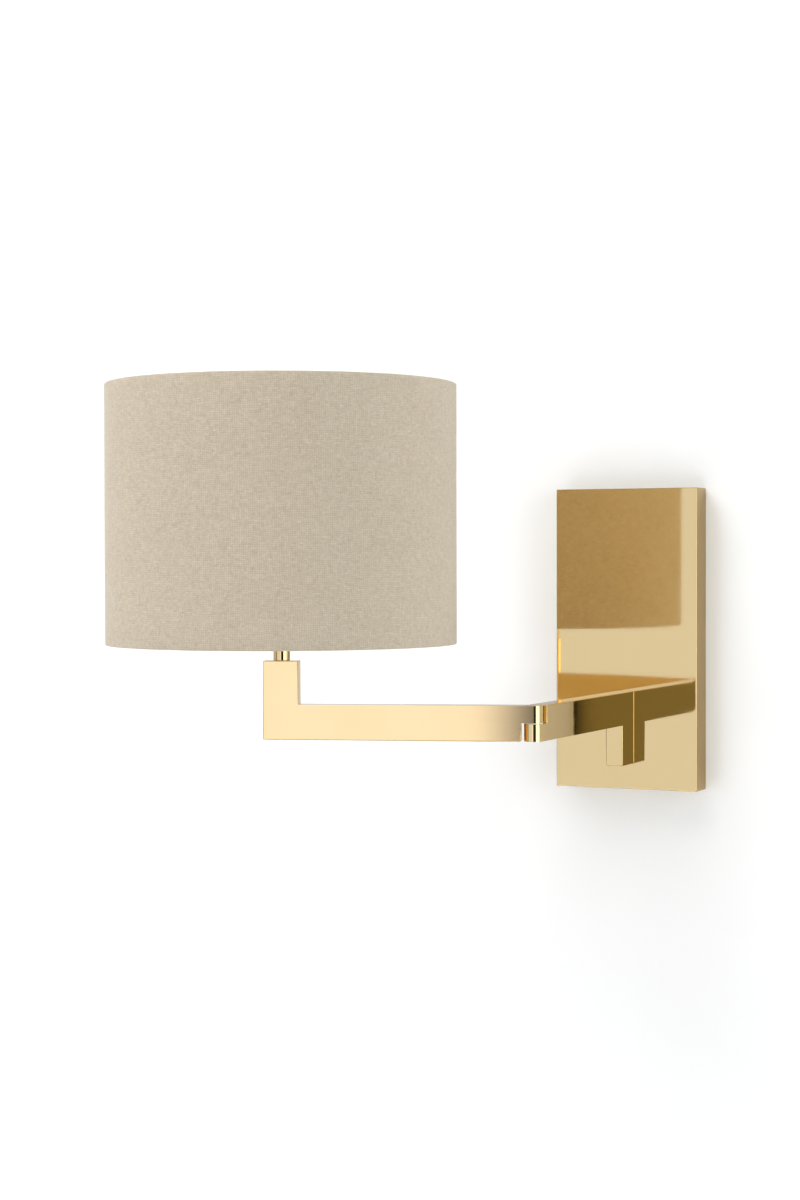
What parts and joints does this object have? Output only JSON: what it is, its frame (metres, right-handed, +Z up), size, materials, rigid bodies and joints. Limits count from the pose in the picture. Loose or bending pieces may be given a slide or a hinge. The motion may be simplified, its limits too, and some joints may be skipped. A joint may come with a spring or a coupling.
{
  "type": "swing arm wall sconce",
  "caption": "Wall light with a tall rectangular brass backplate, a square-section arm that swings at one elbow, and a fabric drum shade over a lampholder.",
  "frame": {"origin": "centre of the wall strap's back face, on the wall plane, which is also the centre of the backplate", "axes": "+Z up; +Y into the wall, so the light stands out towards -Y; +X to the right for a person facing the wall"},
  "size_m": [0.2865, 0.319, 0.2468],
  "materials": {
    "brass": "polished, clear lacquered",
    "contact_brass": "bright",
    "zinc_steel": "bright zinc plated",
    "shade_wire": "ivory powder coat",
    "bulb_cap_metal": "bright rolled",
    "cream_plastic": "moulded satin",
    "ceramic": "glazed",
    "cable_sheath": "satin sheath",
    "black_rubber": "matte",
    "linen": "slubbed woven linen",
    "shade_backing": "smooth white film",
    "bulb_glass": "inside-frosted"
  },
  "bodies": {
    "wall_side": {"wall_strap": "zinc_steel", "earth_screw": "contact_brass", "backplate_cover": "brass", "cover_screw_top": "zinc_steel", "cover_screw_bottom": "zinc_steel", "arm_backing_plate": "zinc_steel", "arm_screw_upper": "zinc_steel", "arm_screw_lower": "zinc_steel", "cable_bush": "black_rubber", "terminal_block": "cream_plastic", "terminal_screw_1": "zinc_steel", "terminal_screw_2": "zinc_steel", "terminal_screw_3": "zinc_steel", "wall_arm": "brass", "pivot_pin": "zinc_steel", "friction_washer": "cream_plastic", "spring_washer": "zinc_steel", "retaining_clip": "zinc_steel", "lower_pivot_cap": "brass", "supply_cable": "cable_sheath"},
    "lamp_side": {"lamp_arm": "brass", "upper_pivot_cap": "brass", "lamp_cable": "cable_sheath", "threaded_tube": "zinc_steel", "neck_sleeve": "brass", "lampholder_base": "cream_plastic", "base_lock_nut": "zinc_steel", "lampholder_insert": "ceramic", "lampholder_skirt": "cream_plastic", "centre_contact": "contact_brass", "screw_shell": "contact_brass", "shade_lower_frame": "shade_wire", "shade_ring": "cream_plastic", "shade_upper_hoop": "shade_wire", "bulb_cap": "bulb_cap_metal", "bulb_glass": "bulb_glass", "shade_liner": "shade_backing", "shade_fabric": "linen"}
  },
  "joints": [
    {"name": "elbow", "type": "hinge", "parent": "wall_side", "child": "lamp_side", "pos_m": [0, -0.17, -0.04325], "axis": [0, 0, 1], "range_deg": [-30, 170]}
  ]
}
